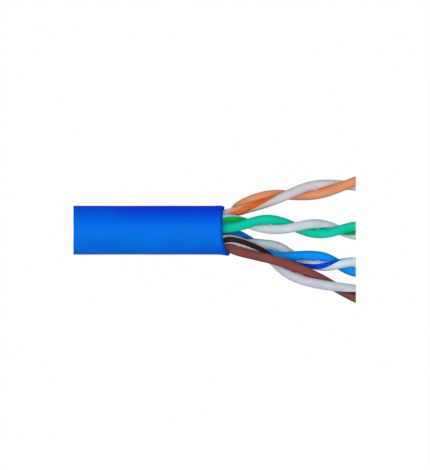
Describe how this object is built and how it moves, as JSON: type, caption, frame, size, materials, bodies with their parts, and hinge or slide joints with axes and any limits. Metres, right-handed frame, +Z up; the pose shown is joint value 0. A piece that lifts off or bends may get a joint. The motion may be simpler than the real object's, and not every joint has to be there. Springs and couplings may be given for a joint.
{
  "type": "stripped twisted-pair cable end",
  "caption": "Short end of round data cable with its jacket stripped back, so that colour-coded twisted pairs of solid wires fan out to one square cut.",
  "frame": {"origin": "centre of the jacket's square-cut back end", "axes": "+X along the cable's axis towards the stripped wire ends; +Y across, towards the orange pair; +Z up from the surface that the cable lies on"},
  "size_m": [0.0294, 0.0132, 0.0051],
  "materials": {
    "jacket_blue": "satin",
    "rip_thread": "matte",
    "orange_insulation": "gloss",
    "green_insulation": "gloss",
    "brown_insulation": "gloss",
    "blue_insulation": "gloss",
    "white_insulation": "gloss",
    "copper": "polished",
    "orange_stripe": "gloss",
    "green_stripe": "gloss",
    "brown_stripe": "gloss",
    "blue_stripe": "gloss"
  },
  "bodies": {
    "root": {"jacket": "jacket_blue", "rip_cord": "rip_thread", "insulation_orange": "orange_insulation", "insulation_white_orange": "white_insulation", "insulation_green": "green_insulation", "insulation_white_green": "white_insulation", "insulation_brown": "brown_insulation", "insulation_white_brown": "white_insulation", "insulation_blue": "blue_insulation", "insulation_white_blue": "white_insulation", "core_orange": "copper", "core_white_orange": "copper", "core_green": "copper", "core_white_green": "copper", "core_brown": "copper", "core_white_brown": "copper", "core_blue": "copper", "core_white_blue": "copper", "stripe_orange": "orange_stripe", "stripe_green": "green_stripe", "stripe_brown": "brown_stripe", "stripe_blue": "blue_stripe"}
  },
  "joints": []
}
